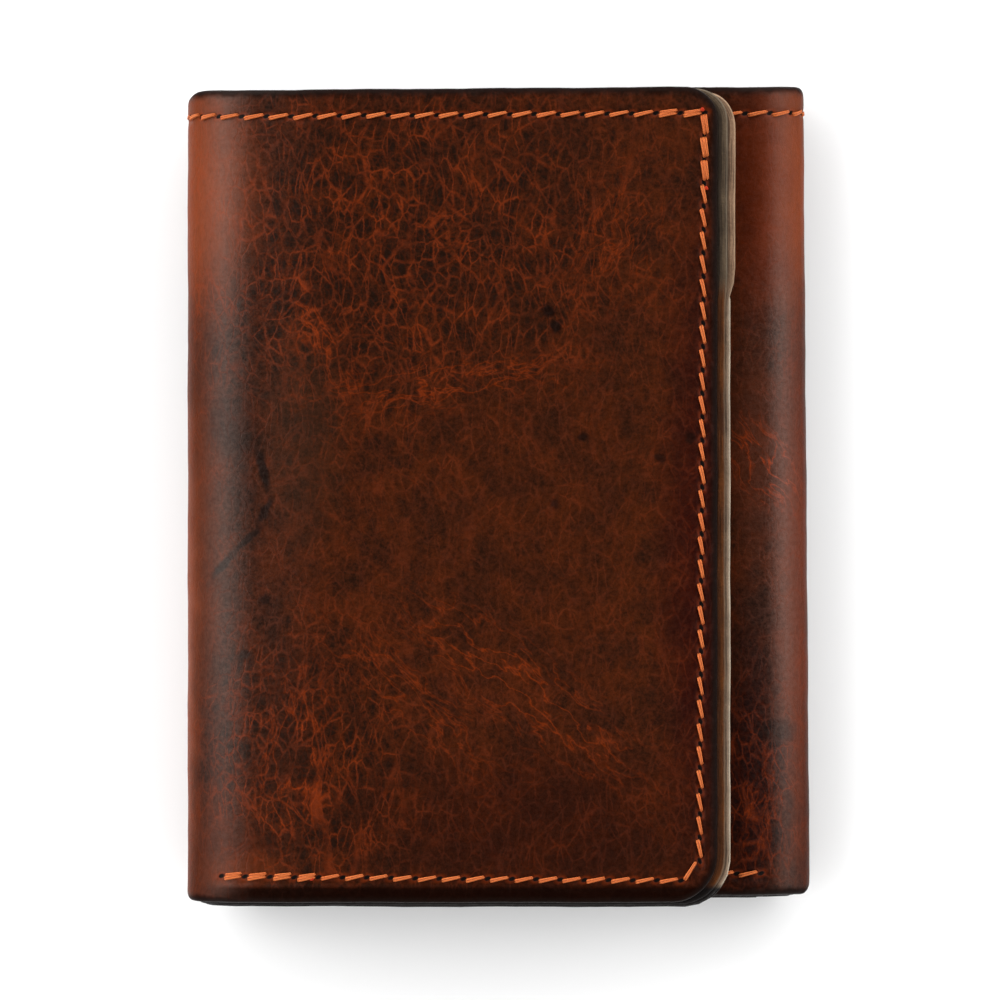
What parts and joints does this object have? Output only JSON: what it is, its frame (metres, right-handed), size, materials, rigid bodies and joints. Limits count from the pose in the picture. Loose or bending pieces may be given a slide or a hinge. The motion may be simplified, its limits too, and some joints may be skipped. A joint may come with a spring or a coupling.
{
  "type": "trifold wallet",
  "caption": "Closed leather trifold wallet: a flap and an inner panel fold over a back panel, with card pockets and a banknote compartment inside.",
  "frame": {"origin": "centre of the closed wallet's footprint, on the outside of the back panel, which lies on the floor", "axes": "+X across the wallet from the left fold to the right fold, +Y towards the edge where the banknotes go in, +Z out of the flap's outside"},
  "size_m": [0.0814, 0.108, 0.0178],
  "materials": {
    "shell_leather": "oiled pull-up, semi-gloss, crackled orange veins",
    "lining_leather": "matt",
    "divider_leather": "matt, burnished edge",
    "pocket_leather": "satin, burnished edge",
    "thread": "waxed linen"
  },
  "bodies": {
    "back": {"shell_back": "shell_leather", "lining_back": "lining_leather", "divider_back": "divider_leather", "back_rear_pocket": "pocket_leather", "back_rear_pocket_foot_seam": "thread", "back_middle_pocket": "pocket_leather", "back_middle_pocket_foot_seam": "thread", "back_front_pocket": "pocket_leather", "top_seam_back": "thread", "back_bottom_seam": "thread", "back_left_pocket_seam": "thread", "back_right_pocket_seam": "thread"},
    "left_spine": {"shell_left_fold": "shell_leather", "lining_left_fold": "lining_leather", "divider_left_fold": "divider_leather", "top_seam_left_fold": "thread"},
    "flap": {"shell_flap": "shell_leather", "lining_flap": "lining_leather", "divider_flap": "divider_leather", "flap_rear_pocket": "pocket_leather", "flap_rear_pocket_foot_seam": "thread", "flap_middle_pocket": "pocket_leather", "flap_middle_pocket_foot_seam": "thread", "flap_front_pocket": "pocket_leather", "top_seam_flap": "thread", "flap_edge_seam": "thread", "flap_left_pocket_seam": "thread"},
    "right_spine": {"shell_right_fold": "shell_leather", "lining_right_fold": "lining_leather", "divider_right_fold": "divider_leather", "top_seam_right_fold": "thread"},
    "inner_panel": {"shell_inner_panel": "shell_leather", "lining_inner_panel": "lining_leather", "divider_inner_panel": "divider_leather", "inner_panel_rear_pocket": "pocket_leather", "inner_panel_rear_pocket_foot_seam": "thread", "inner_panel_middle_pocket": "pocket_leather", "inner_panel_middle_pocket_foot_seam": "thread", "inner_panel_front_pocket": "pocket_leather", "top_seam_inner_panel": "thread", "inner_panel_edge_seam": "thread", "inner_panel_right_pocket_seam": "thread"}
  },
  "joints": [
    {"name": "left_fold_lower", "type": "hinge", "parent": "back", "child": "left_spine", "pos_m": [-0.03816, 0, 0.00254], "axis": [0, -1, 0], "range_deg": [0, 90], "deforming": ["shell_left_fold", "lining_left_fold", "divider_left_fold", "top_seam_left_fold"]},
    {"name": "left_fold_upper", "type": "hinge", "parent": "left_spine", "child": "flap", "pos_m": [-0.03816, 0, 0.01526], "axis": [0, -1, 0], "range_deg": [0, 90]},
    {"name": "right_fold_lower", "type": "hinge", "parent": "back", "child": "right_spine", "pos_m": [0.03882, 0, 0.00188], "axis": [0, 1, 0], "range_deg": [0, 90], "deforming": ["shell_right_fold", "lining_right_fold", "divider_right_fold", "top_seam_right_fold"]},
    {"name": "right_fold_upper", "type": "hinge", "parent": "right_spine", "child": "inner_panel", "pos_m": [0.03882, 0, 0.00982], "axis": [0, 1, 0], "range_deg": [0, 90]}
  ],
  "couplings": [
    {"joint": "left_fold_upper", "follows": "left_fold_lower", "ratio": 1},
    {"joint": "right_fold_lower", "follows": "left_fold_lower", "ratio": 0.24},
    {"joint": "right_fold_upper", "follows": "left_fold_lower", "ratio": 0.24}
  ]
}
